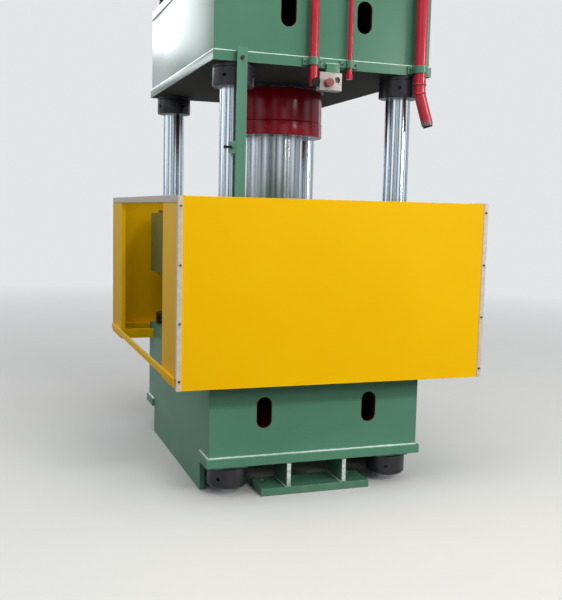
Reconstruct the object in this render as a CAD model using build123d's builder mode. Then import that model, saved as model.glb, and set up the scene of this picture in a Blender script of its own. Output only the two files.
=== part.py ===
"""Four-column hydraulic press: welded crown and bed, four plated columns, one main cylinder,
a moving crosshead, a lower ejector, front pipework and a sheet metal guard round the work space.

Frame: +X runs to the right along the front guard, +Y runs from the front guard to the back one, +Z is up.
The origin is on the floor, on the axis of the ram. All sizes are in millimetres.
"""
from build123d import *
from math import cos, radians, sin
import os

os.makedirs("parts", exist_ok=True)

# Crown, the welded box that carries the main cylinder. The frame's other pieces follow its width and depth
crown_width = 1330.0
crown_depth = 1800.0
crown_bottom = 2460.0
crown_height = 610.0
crown_plate = 56.0
crown_wall = 30.0
crown_setback_side = 8.0
crown_setback_front = 15.0
crown_slot_pitch = 462.0

# Columns and their nuts
column_diameter = 150.0
column_from_side = 150.0
column_from_front = 120.0
column_pitch_x = crown_width - 2 * column_from_side
column_pitch_y = crown_depth - 2 * column_from_front
column_foot_height = 36.0
column_end_above_nut = 25.0
thread_clearance = 0.2
machined_edge = 3.0
nut_diameter = 236.0
upper_nut_height = 104.0
lower_nut_height = 122.0
table_nut_height = 80.0
washer_diameter = 238.0
washer_thickness = 20.0
pad_side = 200.0
pad_thickness = 19.0
nut_pin_hole_diameter = 26.0
nut_pin_hole_depth = 24.0
nut_pin_hole_count = 4
nut_pin_hole_turns = [50.0, 66.0, 20.0, 75.0]
nut_edge_chamfer = 4.0
lower_nut_chamfer = 14.0

# Bed, the welded box that carries the work
bed_lip_side = 10.0
bed_lip_front = 20.0
bed_width = crown_width + 2 * bed_lip_side
bed_depth = crown_depth + 2 * bed_lip_front
bed_bottom = 190.0
bed_height = 610.0
bed_plate = 52.0
bed_wall = 30.0
bed_setback_side = 16.0
bed_setback_front = 20.0
bed_slot_pitch = 660.0
side_foot_from_end = 220.0
bed_side_foot_length = bed_depth - 2 * side_foot_from_end

# Hand slots in the front and back walls of both boxes
slot_width = 90.0
slot_length = 180.0
slot_centre_above_plate = 305.0

# Sleeves round the columns and the ribs inside both boxes
sleeve_diameter = 206.0
sleeve_clearance = 1.0
rib_thickness = 25.0
rib_hole_diameter = 160.0
rib_hole_pitch = 900.0

# Feet under the bed
foot_width = 684.0
foot_depth = 220.0
foot_thickness = 45.0
foot_inset = 5.0
foot_gusset_pitch = 350.0
foot_gusset_thickness = 26.0
anchor_hole_diameter = 34.0
anchor_hole_pitch = 560.0
anchor_hole_inset = 165.0

# T-slots in the bed top and the crosshead face
t_slot_neck = 28.0
t_slot_neck_depth = 26.0
t_slot_head = 48.0
t_slot_head_depth = 22.0
t_slot_pitch = 300.0
bed_t_slot_count = 3
head_t_slot_count = 3

# Main cylinder and ram
ram_diameter = 375.0
ram_spigot_diameter = 220.0
cylinder_bore = 420.0
cylinder_barrel = 540.0
cylinder_shoulder_diameter = 680.0
cylinder_shoulder_height = 60.0
cylinder_above_crown = 215.0
cylinder_end_wall = 75.0
barrel_clearance = 1.0
locknut_washer_diameter = 640.0
locknut_washer_thickness = 29.0
locknut_diameter = 622.0
locknut_height = 202.0
gland_diameter = 628.0
gland_height = 91.0
gland_spigot_length = 60.0
gland_spigot_clearance = 0.2
gland_bolt_circle = 480.0
gland_bolt_count = 16
gland_bolt_diameter = 24.0
gland_bolt_head = 36.0
gland_bolt_head_height = 22.0
gland_counterbore = 40.0
gland_counterbore_depth = 25.0
valve_bolt_head_height = 15.0
guide_ring_wall = 10.0
running_clearance = 0.08
seal_gap = 0.3
seal_height = 24.0
wiper_height = 14.0
piston_length = 160.0
piston_nut_diameter = 320.0
piston_nut_height = 40.0
piston_end_gap = 10.0
valve_port_diameter = 140.0
valve_body_diameter = 300.0
valve_flange_diameter = 400.0
valve_flange_thickness = 40.0
valve_body_height = 170.0
valve_bolt_circle = 350.0
valve_bolt_count = 8

# Moving crosshead
head_inset = 10.0
head_width = crown_width - 2 * head_inset
head_depth = crown_depth - 2 * head_inset
head_height = 430.0
head_above_bed = 388.0
head_plate = 55.0
head_wall = 30.0
stroke_top_gap = 21.0
stroke_bottom_gap = 18.0
ram_ring_diameter = 540.0
ram_ring_height = 50.0
ram_ring_bolt_circle = 470.0
ram_ring_bolt_count = 12
ram_ring_bolt_diameter = 30.0
ram_ring_bolt_head = 46.0
ram_ring_bolt_head_height = 19.0
ram_spigot_in_head = 60.0
bush_wall = 14.0
bush_length = 150.0
bush_flange_diameter = 216.0
bush_flange_thickness = 20.0

# Ejector in the bed
ejector_plate_diameter = 220.0
ejector_plate_thickness = 40.0
ejector_gap = 1.0
ejector_headroom = 20.0
ejector_piston_height = 50.0
ejector_rod_diameter = 90.0
ejector_cylinder_diameter = 200.0
ejector_cylinder_wall = 34.0
ejector_rod_length = 330.0
ejector_flange_diameter = 290.0
ejector_flange_thickness = 30.0

# Pipework down the front of the crown
large_pipe_diameter = 68.0
medium_pipe_diameter = 48.0
small_pipe_diameter = 28.0
pipe_wall = 6.0
small_pipe_wall = 4.0
pipe_bend = 2.0
small_pipe_bend = 3.0
pipe_standoff = 8.0
large_pipe_from_side = 94.0
medium_pipe_x = -92.0
small_pipe_x = 131.0
pipe_top_above_crown = 220.0
large_pipe_mitre_drop = 106.0
large_pipe_leg = 188.0
large_pipe_slant = 18.6
medium_pipe_drop = 108.0
small_pipe_drop = 23.0
header_depth = 90.0
header_clearance = 40.0
header_edge = 6.0
clamp_thickness = 12.0
clamp_height = 42.0
clamp_wrap = 7.0
clamp_above_edge = 30.0
large_clamp_length = 130.0
medium_clamp_length = 118.0
small_clamp_length = 108.0
clamp_bolt_from_end = 13.0
clamp_bolt_head = 14.0
clamp_bolt_head_height = 5.0

# Port block under the crown's front edge
block_width = 135.0
block_height = 100.0
block_depth = 60.0
block_left = -66.0
block_drop = 28.0
block_port_diameter = 34.0
block_port_depth = 25.0
block_port_from_right = 28.0
block_port_height = 60.0
stub_diameter = 46.0
stub_length = 40.0
stub_from_left = 48.0
stub_height = 40.0
port_cap_diameter = 48.0
port_cap_length = 14.0
port_cap_from_axis = 1.0
plug_length = 22.0
plug_head = 12.0
block_edge = 2.0
hanger_centre_from_left = 96.0
hanger_width = 80.0
hanger_thickness = 20.0
hanger_height = 55.0
fitting_across = 40.0
fitting_height = 30.0

# Stroke bar and its limit switches
bar_width = 58.0
bar_thickness = 12.0
bar_from_side = 155.0
bar_standoff = 25.0
bar_pad_height = 110.0
bar_above_crown_bottom = 76.0
bar_below_bed_top = 110.0
bar_crown_bolt_height = 18.0
bar_bed_bolt_depths = (25.0, 80.0)
bar_edge = 1.0
bar_bolt_head = 24.0
bar_bolt_head_height = 10.0
switch_body_width = 34.0
switch_body_depth = 24.0
switch_body_height = 62.0
switch_plate_thickness = 6.0
switch_gap = 4.0
switch_corner = 3.0
switch_shaft_diameter = 9.0
switch_shaft_length = 8.0
shaft_clearance = 0.1
lever_length = 46.0
lever_gap = 0.5
lever_end_width = 14.0
lever_thickness = 6.0
lever_roller_diameter = 18.0
lever_roller_width = 8.0
lever_swing = 25.0
dog_width = 40.0
dog_length = 220.0
dog_thickness = 12.0
dog_pin_drop = 88.0
dog_pin_height = 60.0
dog_pin_width = 12.0
roller_gap = 5.0

# Guard round the work space
guard_gap_left = 234.0
guard_gap_right = 278.0
guard_gap_front = 240.0
guard_below_bed_top = 103.0
guard_height = 1025.0
guard_sheet = 3.0
guard_return = 395.0
guard_lip = 34.0
guard_rail = 40.0
guard_rail_thickness = 14.0
guard_inner_rail_depth = 40.0
guard_inner_rail_height = 60.0
guard_hem = 30.0
guard_hem_gap = 5.0
guard_rail_above_bottom = 25.0
guard_rail_edge = 1.0
guard_rail_end_gap = 2.0
strip_width = 27.0
strip_thickness = 3.0
strip_bolt_head = 12.0
strip_bolt_from_corner = 12.0
strip_bolt_head_height = 5.0
strip_bolt_count = 4
strip_bolt_end = 52.0
edge_strip_width = 34.0
guard_arm = 50.0
guard_arm_pitch = 700.0
guard_arm_above_bottom = 28.0
side_arm_thickness = 20.0
side_arm_height = 68.0
side_arm_from_edge = 4.0

# Places worked out from the sizes above
column_radius = column_diameter / 2
column_places = [
    ("front_left", -column_pitch_x / 2, -column_pitch_y / 2),
    ("front_right", column_pitch_x / 2, -column_pitch_y / 2),
    ("back_left", -column_pitch_x / 2, column_pitch_y / 2),
    ("back_right", column_pitch_x / 2, column_pitch_y / 2),
]
column_points = [(x, y) for _, x, y in column_places]
crown_top = crown_bottom + crown_height
cylinder_top = crown_top + cylinder_above_crown
crown_front = crown_depth / 2
bed_top = bed_bottom + bed_height
bed_front = bed_depth / 2 - bed_setback_front
head_bottom = bed_top + head_above_bed
head_top = head_bottom + head_height
head_front = head_depth / 2
ram_radius = ram_diameter / 2
locknut_top = crown_bottom - locknut_washer_thickness
gland_top = locknut_top - locknut_height
gland_bottom = gland_top - gland_height
cylinder_inner_top = cylinder_top - cylinder_end_wall
travel_up = gland_bottom - head_top - ram_ring_height - ram_ring_bolt_head_height - stroke_top_gap
travel_down = head_bottom - bush_flange_thickness - bed_top - table_nut_height - stroke_bottom_gap
piston_bottom = gland_top + gland_spigot_length + travel_down + piston_end_gap
sleeve_bore = column_diameter + 2 * sleeve_clearance
upper_nut_top = crown_bottom - washer_thickness
clamp_face = -crown_front
clamp_centre_height = crown_bottom + clamp_above_edge
large_pipe_x = crown_width / 2 - large_pipe_from_side
large_pipe_mitre = crown_bottom - large_pipe_mitre_drop
medium_pipe_end = crown_bottom - medium_pipe_drop
small_pipe_end = crown_bottom - small_pipe_drop
block_top = crown_bottom - block_drop
bar_x = -crown_width / 2 + bar_from_side
bar_back = clamp_face - bar_standoff
bar_face = bar_back - bar_thickness
bar_top = crown_bottom + bar_above_crown_bottom
bar_bottom = bed_top - bar_below_bed_top
guard_left = -crown_width / 2 - guard_gap_left
guard_right = crown_width / 2 + guard_gap_right
guard_front = crown_front + guard_gap_front
guard_bottom = bed_top - guard_below_bed_top
guard_top = guard_bottom + guard_height
large_pipe_y = clamp_face - pipe_standoff - large_pipe_diameter / 2
medium_pipe_y = clamp_face - pipe_standoff - medium_pipe_diameter / 2
small_pipe_y = clamp_face - pipe_standoff - small_pipe_diameter / 2


def save(builder, name):
    """Label a finished piece and write it."""
    builder.part.label = name
    export_step(builder.part, f"parts/{name}.step")


def facing_front(x, y, z):
    """An upright plane whose normal points to the front, -Y."""
    return Plane(origin=(x, y, z), x_dir=(1, 0, 0), z_dir=(0, -1, 0))


def t_slot_cutters(length_along_y, face_height, direction, count):
    """The cutters of a row of T-slots along Y, opening at face_height towards direction."""
    with BuildPart() as cutters:
        with BuildSketch(Plane.XY.offset(face_height)):
            with GridLocations(t_slot_pitch, 0, count, 1):
                Rectangle(t_slot_neck, length_along_y)
        extrude(amount=-direction * t_slot_neck_depth)
        with BuildSketch(Plane.XY.offset(face_height - direction * t_slot_neck_depth)):
            with GridLocations(t_slot_pitch, 0, count, 1):
                Rectangle(t_slot_head, length_along_y)
        extrude(amount=-direction * t_slot_head_depth)
    return cutters.part


def hand_slot_cutters(pitch, centre_height, half_depth, wall):
    """The cutters of the upright slots through the front and back walls."""
    with BuildPart() as cutters:
        for side in (-1, 1):
            with BuildSketch(facing_front(0, side * half_depth, centre_height)):
                with Locations((-pitch / 2, 0), (pitch / 2, 0)):
                    SlotOverall(slot_length, slot_width, rotation=90)
            extrude(amount=wall * 1.5, both=True)
    return cutters.part


def rib_hole_cutters(rib_y, centre_height):
    """The cutters of the round holes through the two inner ribs."""
    with BuildPart() as cutters:
        with BuildSketch(facing_front(0, 0, centre_height)):
            with GridLocations(rib_hole_pitch, 0, 2, 1):
                Circle(rib_hole_diameter / 2)
        extrude(amount=rib_y + rib_thickness, both=True)
    return cutters.part


def round_nuts(name, bottom, height, lower_chamfer):
    """Four round nuts with pin holes, one on each column."""
    with BuildPart() as nuts:
        with BuildSketch(Plane.XY.offset(bottom)):
            with Locations(*column_points):
                Circle(nut_diameter / 2)
        extrude(amount=height)
        chamfer(nuts.edges().filter_by(GeomType.CIRCLE).group_by(Axis.Z)[0], lower_chamfer)
        chamfer(nuts.edges().filter_by(GeomType.CIRCLE).group_by(Axis.Z)[-1], nut_edge_chamfer)
        with BuildSketch(Plane.XY.offset(bottom)):
            with Locations(*column_points):
                Circle(column_radius + thread_clearance)
        extrude(amount=height, mode=Mode.SUBTRACT)
        for (x, y), first_turn in zip(column_points, nut_pin_hole_turns):
            for index in range(nut_pin_hole_count):
                turn = first_turn + index * 360.0 / nut_pin_hole_count
                outward = (cos(radians(turn)), sin(radians(turn)), 0)
                reach = nut_diameter / 2
                mouth = (x + outward[0] * reach, y + outward[1] * reach, bottom + height / 2)
                with BuildSketch(Plane(origin=mouth, z_dir=outward)):
                    Circle(nut_pin_hole_diameter / 2)
                extrude(amount=-nut_pin_hole_depth, mode=Mode.SUBTRACT)
    save(nuts, name)


# Bed: bottom and top plates, four walls, side feet, column sleeves, ejector well and T-slots
with BuildPart() as bed:
    with BuildSketch(Plane.XY.offset(bed_bottom)):
        Rectangle(bed_width, bed_depth)
    extrude(amount=bed_plate)
    bed_inner_width = bed_width - 2 * bed_setback_side
    bed_inner_depth = bed_depth - 2 * bed_setback_front
    with BuildSketch(Plane.XY.offset(bed_bottom + bed_plate)):
        Rectangle(bed_inner_width, bed_inner_depth)
        Rectangle(bed_inner_width - 2 * bed_wall, bed_inner_depth - 2 * bed_wall, mode=Mode.SUBTRACT)
        with Locations(*column_points):
            Circle(sleeve_diameter / 2)
        Circle(ejector_flange_diameter / 2 + rib_thickness)
        with Locations((0, ejector_flange_diameter), (0, -ejector_flange_diameter)):
            Rectangle(bed_inner_width - bed_wall, rib_thickness)
    extrude(amount=bed_height - 2 * bed_plate)
    with BuildSketch(Plane.XY.offset(bed_top - bed_plate)):
        Rectangle(bed_inner_width, bed_inner_depth)
    extrude(amount=bed_plate)
    with BuildSketch(Plane.XY):
        with Locations((-(bed_inner_width - bed_wall) / 2, 0), ((bed_inner_width - bed_wall) / 2, 0)):
            Rectangle(bed_wall, bed_side_foot_length)
    extrude(amount=bed_bottom)
    with BuildSketch(Plane.XY.offset(bed_bottom)):
        with Locations((-bed_width / 2, 0), (bed_width / 2, 0)):
            Rectangle(2 * bed_setback_side, bed_side_foot_length)
    extrude(amount=bed_plate, mode=Mode.SUBTRACT)
    with BuildSketch(Plane.XY.offset(bed_bottom)):
        with Locations(*column_points):
            Circle(sleeve_bore / 2)
        Circle(ejector_cylinder_diameter / 2 + ejector_gap)
    extrude(amount=bed_height, mode=Mode.SUBTRACT)
    with BuildSketch(Plane.XY.offset(bed_top)):
        Circle(ejector_plate_diameter / 2 + ejector_gap)
    extrude(amount=-ejector_plate_thickness - ejector_gap, mode=Mode.SUBTRACT)
    bed_slot_height = bed_bottom + slot_centre_above_plate
    add(hand_slot_cutters(bed_slot_pitch, bed_slot_height, bed_inner_depth / 2, bed_wall), mode=Mode.SUBTRACT)
    add(rib_hole_cutters(ejector_flange_diameter, bed_slot_height), mode=Mode.SUBTRACT)
    add(t_slot_cutters(bed_depth, bed_top, 1, bed_t_slot_count), mode=Mode.SUBTRACT)
save(bed, "bed")

# Feet under the front and back edges, each a floor plate with two upright gussets
for end_name, end in (("front", -1), ("back", 1)):
    foot_centre_y = end * (bed_depth / 2 - foot_inset - foot_depth / 2)
    with BuildPart() as foot:
        with BuildSketch(Plane.XY):
            with Locations((0, foot_centre_y)):
                Rectangle(foot_width, foot_depth)
            with Locations((0, foot_centre_y + end * (foot_depth / 2 - anchor_hole_inset))):
                with GridLocations(anchor_hole_pitch, 0, 2, 1):
                    Circle(anchor_hole_diameter / 2, mode=Mode.SUBTRACT)
        extrude(amount=foot_thickness)
        with BuildSketch(Plane.XY.offset(foot_thickness)):
            with Locations((0, foot_centre_y)):
                with GridLocations(foot_gusset_pitch, 0, 2, 1):
                    Rectangle(foot_gusset_thickness, foot_depth)
        extrude(amount=bed_bottom - foot_thickness)
    save(foot, f"{end_name}_foot")

# Columns, with a centre hole in each end
column_top = crown_top + lower_nut_height + column_end_above_nut
for place_name, x, y in column_places:
    with BuildPart() as column:
        with BuildSketch(Plane.XY.offset(column_foot_height)):
            with Locations((x, y)):
                Circle(column_radius)
        extrude(amount=column_top - column_foot_height)
        chamfer(column.edges().filter_by(GeomType.CIRCLE), nut_edge_chamfer)
    save(column, f"column_{place_name}")

# Nuts and washers that clamp the crown and the bed on the columns
round_nuts("crown_under_nuts", upper_nut_top - upper_nut_height, upper_nut_height, nut_edge_chamfer)
round_nuts("crown_top_nuts", crown_top, lower_nut_height, nut_edge_chamfer)
round_nuts("bed_top_nuts", bed_top, table_nut_height, nut_edge_chamfer)
round_nuts("bed_under_nuts", bed_bottom - pad_thickness - lower_nut_height, lower_nut_height, lower_nut_chamfer)

with BuildPart() as washers:
    with BuildSketch(Plane.XY.offset(upper_nut_top)):
        with Locations(*column_points):
            Circle(washer_diameter / 2)
            Circle(column_radius + sleeve_clearance, mode=Mode.SUBTRACT)
    extrude(amount=washer_thickness)
save(washers, "crown_washers")

with BuildPart() as pads:
    with BuildSketch(Plane.XY.offset(bed_bottom - pad_thickness)):
        with Locations(*column_points):
            Rectangle(pad_side, pad_side)
            Circle(column_radius + sleeve_clearance, mode=Mode.SUBTRACT)
    extrude(amount=pad_thickness)
save(pads, "bed_nut_pads")

# Crown: bottom and top plates, four walls, column sleeves, barrel tube and ribs
with BuildPart() as crown:
    crown_inner_width = crown_width - 2 * crown_setback_side
    crown_inner_depth = crown_depth - 2 * crown_setback_front
    with BuildSketch(Plane.XY.offset(crown_bottom)):
        Rectangle(crown_width, crown_depth)
    extrude(amount=crown_plate)
    with BuildSketch(Plane.XY.offset(crown_bottom + crown_plate)):
        Rectangle(crown_inner_width, crown_inner_depth)
        Rectangle(crown_inner_width - 2 * crown_wall, crown_inner_depth - 2 * crown_wall, mode=Mode.SUBTRACT)
        with Locations(*column_points):
            Circle(sleeve_diameter / 2)
        Circle(cylinder_barrel / 2 + rib_thickness)
        with GridLocations(0, cylinder_barrel, 1, 2):
            Rectangle(crown_inner_width - crown_wall, rib_thickness)
    extrude(amount=crown_height - 2 * crown_plate)
    with BuildSketch(Plane.XY.offset(crown_top - crown_plate)):
        Rectangle(crown_inner_width, crown_inner_depth)
    extrude(amount=crown_plate)
    with BuildSketch(Plane.XY.offset(crown_bottom)):
        with Locations(*column_points):
            Circle(sleeve_bore / 2)
        Circle(cylinder_barrel / 2 + barrel_clearance)
    extrude(amount=crown_height, mode=Mode.SUBTRACT)
    crown_slot_height = crown_bottom + slot_centre_above_plate
    crown_slots = hand_slot_cutters(crown_slot_pitch, crown_slot_height, crown_inner_depth / 2, crown_wall)
    add(crown_slots, mode=Mode.SUBTRACT)
    add(rib_hole_cutters(cylinder_barrel / 2, crown_slot_height), mode=Mode.SUBTRACT)
save(crown, "crown")

# Main cylinder: barrel through the crown, shoulder and closed end above it
with BuildPart() as main_cylinder:
    with BuildSketch(Plane.XZ):
        with BuildLine():
            Polyline(
                (cylinder_bore / 2, gland_top),
                (cylinder_barrel / 2, gland_top),
                (cylinder_barrel / 2, crown_top),
                (cylinder_shoulder_diameter / 2, crown_top),
                (cylinder_shoulder_diameter / 2, crown_top + cylinder_shoulder_height),
                (cylinder_barrel / 2, crown_top + cylinder_shoulder_height),
                (cylinder_barrel / 2, cylinder_top),
                (valve_port_diameter / 2, cylinder_top),
                (valve_port_diameter / 2, cylinder_inner_top),
                (cylinder_bore / 2, cylinder_inner_top),
                close=True,
            )
        make_face()
    revolve(axis=Axis.Z)
save(main_cylinder, "main_cylinder")

# Washer and tall round nut that hold the barrel up against the crown
with BuildPart() as locknut_washer:
    with BuildSketch(Plane.XY.offset(locknut_top)):
        Circle(locknut_washer_diameter / 2)
        Circle(cylinder_barrel / 2 + barrel_clearance, mode=Mode.SUBTRACT)
    extrude(amount=locknut_washer_thickness)
save(locknut_washer, "cylinder_locknut_washer")

with BuildPart() as cylinder_locknut:
    with BuildSketch(Plane.XY.offset(gland_top)):
        Circle(locknut_diameter / 2)
    extrude(amount=locknut_height)
    chamfer(cylinder_locknut.edges().filter_by(GeomType.CIRCLE), machined_edge)
    with BuildSketch(Plane.XY.offset(gland_top)):
        Circle(cylinder_barrel / 2 + thread_clearance)
    extrude(amount=locknut_height, mode=Mode.SUBTRACT)
save(cylinder_locknut, "cylinder_locknut")

# Gland: flange under the barrel's mouth with a spigot in the bore
guide_ring_radius = ram_radius + guide_ring_wall
with BuildPart() as cylinder_gland:
    with BuildSketch(Plane.XY.offset(gland_bottom)):
        Circle(gland_diameter / 2)
    extrude(amount=gland_height)
    chamfer(cylinder_gland.edges().filter_by(GeomType.CIRCLE), machined_edge)
    with BuildSketch(Plane.XY.offset(gland_top)):
        Circle(cylinder_bore / 2 - gland_spigot_clearance)
    extrude(amount=gland_spigot_length)
    with BuildSketch(Plane.XY.offset(gland_bottom)):
        Circle(guide_ring_radius)
        with PolarLocations(gland_bolt_circle / 2, gland_bolt_count):
            Circle(gland_bolt_diameter / 2)
    extrude(amount=gland_height + gland_spigot_length, mode=Mode.SUBTRACT)
    with BuildSketch(Plane.XY.offset(gland_bottom)):
        with PolarLocations(gland_bolt_circle / 2, gland_bolt_count):
            Circle(gland_counterbore / 2)
    extrude(amount=gland_counterbore_depth, mode=Mode.SUBTRACT)
save(cylinder_gland, "cylinder_gland")

gland_bolt_seat = gland_bottom + gland_counterbore_depth
with BuildPart() as gland_bolts:
    with BuildSketch(Plane.XY.offset(gland_bolt_seat)):
        with PolarLocations(gland_bolt_circle / 2, gland_bolt_count):
            Circle(gland_bolt_diameter / 2 - thread_clearance)
    extrude(amount=gland_height - gland_counterbore_depth)
    with BuildSketch(Plane.XY.offset(gland_bolt_seat)):
        with PolarLocations(gland_bolt_circle / 2, gland_bolt_count):
            Circle(gland_bolt_head / 2)
    extrude(amount=-gland_bolt_head_height)
save(gland_bolts, "gland_bolts")

# Inside the gland: wiper at the mouth, guide ring, then the rod seal
wiper_top = gland_bottom + wiper_height
seal_bottom = gland_top + gland_spigot_length - seal_height
for ring_name, low, high, gap in (
    ("rod_wiper", gland_bottom, wiper_top, seal_gap),
    ("ram_guide_ring", wiper_top, seal_bottom, running_clearance),
    ("rod_seal", seal_bottom, seal_bottom + seal_height, seal_gap),
):
    with BuildPart() as ring:
        with BuildSketch(Plane.XY.offset(low)):
            Circle(guide_ring_radius)
            Circle(ram_radius + gap, mode=Mode.SUBTRACT)
        extrude(amount=high - low)
    save(ring, ring_name)

# Ram with a spigot at each end, piston and piston nut
spigot_radius = ram_spigot_diameter / 2
with BuildPart() as ram:
    with BuildSketch(Plane.XY.offset(head_top)):
        Circle(ram_radius)
    extrude(amount=piston_bottom - head_top)
    with BuildSketch(Plane.XY.offset(head_top - ram_spigot_in_head)):
        Circle(spigot_radius)
    extrude(amount=ram_spigot_in_head)
    with BuildSketch(Plane.XY.offset(piston_bottom)):
        Circle(spigot_radius)
    extrude(amount=piston_length + piston_nut_height)
save(ram, "ram")

with BuildPart() as piston:
    with BuildSketch(Plane.XY.offset(piston_bottom)):
        Circle(cylinder_bore / 2 - running_clearance)
    extrude(amount=piston_length)
    with BuildSketch(Plane.XY.offset(piston_bottom)):
        Circle(spigot_radius)
    extrude(amount=piston_length, mode=Mode.SUBTRACT)
save(piston, "piston")

with BuildPart() as piston_nut:
    with BuildSketch(Plane.XY.offset(piston_bottom + piston_length)):
        Circle(piston_nut_diameter / 2)
        Circle(spigot_radius, mode=Mode.SUBTRACT)
    extrude(amount=piston_nut_height)
save(piston_nut, "piston_nut")

# Prefill valve on the closed end of the cylinder
with BuildPart() as prefill_valve:
    with BuildSketch(Plane.XY.offset(cylinder_top)):
        Circle(valve_flange_diameter / 2)
    extrude(amount=valve_flange_thickness)
    with BuildSketch(Plane.XY.offset(cylinder_top + valve_flange_thickness)):
        Circle(valve_body_diameter / 2)
    extrude(amount=valve_body_height)
    with BuildSketch(Plane.XY.offset(cylinder_top + valve_flange_thickness + valve_body_height)):
        Circle(valve_flange_diameter / 2)
    extrude(amount=valve_flange_thickness)
    with BuildSketch(Plane.XY.offset(cylinder_top)):
        Circle(valve_port_diameter / 2)
    extrude(amount=valve_body_height + 2 * valve_flange_thickness, mode=Mode.SUBTRACT)
save(prefill_valve, "prefill_valve")

with BuildPart() as valve_bolts:
    with BuildSketch(Plane.XY.offset(cylinder_top + valve_flange_thickness)):
        with PolarLocations(valve_bolt_circle / 2, valve_bolt_count):
            RegularPolygon(gland_bolt_head / 2, 6)
    extrude(amount=valve_bolt_head_height)
save(valve_bolts, "valve_bolts")

# Moving crosshead: plates, walls, column sleeves, centre post and T-slots in its face
bush_seat_radius = column_radius + running_clearance + bush_wall
with BuildPart() as crosshead:
    with BuildSketch(Plane.XY.offset(head_bottom)):
        Rectangle(head_width, head_depth)
    extrude(amount=head_plate)
    with BuildSketch(Plane.XY.offset(head_bottom + head_plate)):
        Rectangle(head_width, head_depth)
        Rectangle(head_width - 2 * head_wall, head_depth - 2 * head_wall, mode=Mode.SUBTRACT)
        with Locations(*column_points):
            Circle(sleeve_diameter / 2)
        Circle(ram_ring_diameter / 2)
        with GridLocations(0, ram_ring_diameter, 1, 2):
            Rectangle(head_width - head_wall, rib_thickness)
    extrude(amount=head_height - 2 * head_plate)
    with BuildSketch(Plane.XY.offset(head_top - head_plate)):
        Rectangle(head_width, head_depth)
    extrude(amount=head_plate)
    with BuildSketch(Plane.XY.offset(head_bottom)):
        with Locations(*column_points):
            Circle(bush_seat_radius)
    extrude(amount=head_height, mode=Mode.SUBTRACT)
    with BuildSketch(Plane.XY.offset(head_top)):
        Circle(spigot_radius)
    extrude(amount=-ram_spigot_in_head, mode=Mode.SUBTRACT)
    head_middle = head_bottom + head_height / 2
    add(hand_slot_cutters(crown_slot_pitch, head_middle, head_depth / 2, head_wall), mode=Mode.SUBTRACT)
    add(rib_hole_cutters(ram_ring_diameter / 2, head_middle), mode=Mode.SUBTRACT)
    add(t_slot_cutters(head_depth, head_bottom, -1, head_t_slot_count), mode=Mode.SUBTRACT)
save(crosshead, "crosshead")

# Flanged bronze bushes at both ends of each sleeve
for bush_name, face, inward in (("upper_guide_bushes", head_top, -1), ("lower_guide_bushes", head_bottom, 1)):
    with BuildPart() as bushes:
        with BuildSketch(Plane.XY.offset(face)):
            with Locations(*column_points):
                Circle(bush_seat_radius)
        extrude(amount=inward * bush_length)
        with BuildSketch(Plane.XY.offset(face)):
            with Locations(*column_points):
                Circle(bush_flange_diameter / 2)
        extrude(amount=-inward * bush_flange_thickness)
        with BuildSketch(Plane.XY.offset(face - inward * bush_flange_thickness)):
            with Locations(*column_points):
                Circle(column_radius + running_clearance)
        extrude(amount=inward * (bush_length + bush_flange_thickness), mode=Mode.SUBTRACT)
    save(bushes, bush_name)

# Split ring that bolts the ram to the crosshead
with BuildPart() as ram_ring:
    with BuildSketch(Plane.XY.offset(head_top)):
        Circle(ram_ring_diameter / 2)
        Circle(ram_radius + thread_clearance, mode=Mode.SUBTRACT)
        with PolarLocations(ram_ring_bolt_circle / 2, ram_ring_bolt_count):
            Circle(ram_ring_bolt_diameter / 2, mode=Mode.SUBTRACT)
    extrude(amount=ram_ring_height)
save(ram_ring, "ram_ring")

with BuildPart() as ram_ring_bolts:
    with BuildSketch(Plane.XY.offset(head_top)):
        with PolarLocations(ram_ring_bolt_circle / 2, ram_ring_bolt_count):
            Circle(ram_ring_bolt_diameter / 2 - thread_clearance)
    extrude(amount=ram_ring_height)
    with BuildSketch(Plane.XY.offset(head_top + ram_ring_height)):
        with PolarLocations(ram_ring_bolt_circle / 2, ram_ring_bolt_count):
            RegularPolygon(ram_ring_bolt_head / 2, 6)
    extrude(amount=ram_ring_bolt_head_height)
save(ram_ring_bolts, "ram_ring_bolts")

# Ejector: flush plate and rod in a small cylinder hung in the bed's well
ejector_plate_bottom = bed_top - ejector_plate_thickness
ejector_cylinder_top = ejector_plate_bottom - ejector_headroom
with BuildPart() as ejector_plate:
    with BuildSketch(Plane.XY.offset(ejector_plate_bottom)):
        Circle(ejector_plate_diameter / 2)
    extrude(amount=ejector_plate_thickness)
save(ejector_plate, "ejector_plate")

ejector_piston_bottom = ejector_plate_bottom - ejector_rod_length
ejector_inner_radius = ejector_cylinder_diameter / 2 - ejector_cylinder_wall
with BuildPart() as ejector_rod:
    with BuildSketch(Plane.XY.offset(ejector_piston_bottom)):
        Circle(ejector_inner_radius - running_clearance)
    extrude(amount=ejector_piston_height)
    with BuildSketch(Plane.XY.offset(ejector_piston_bottom + ejector_piston_height)):
        Circle(ejector_rod_diameter / 2)
    extrude(amount=ejector_rod_length - ejector_piston_height)
save(ejector_rod, "ejector_rod")

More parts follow.
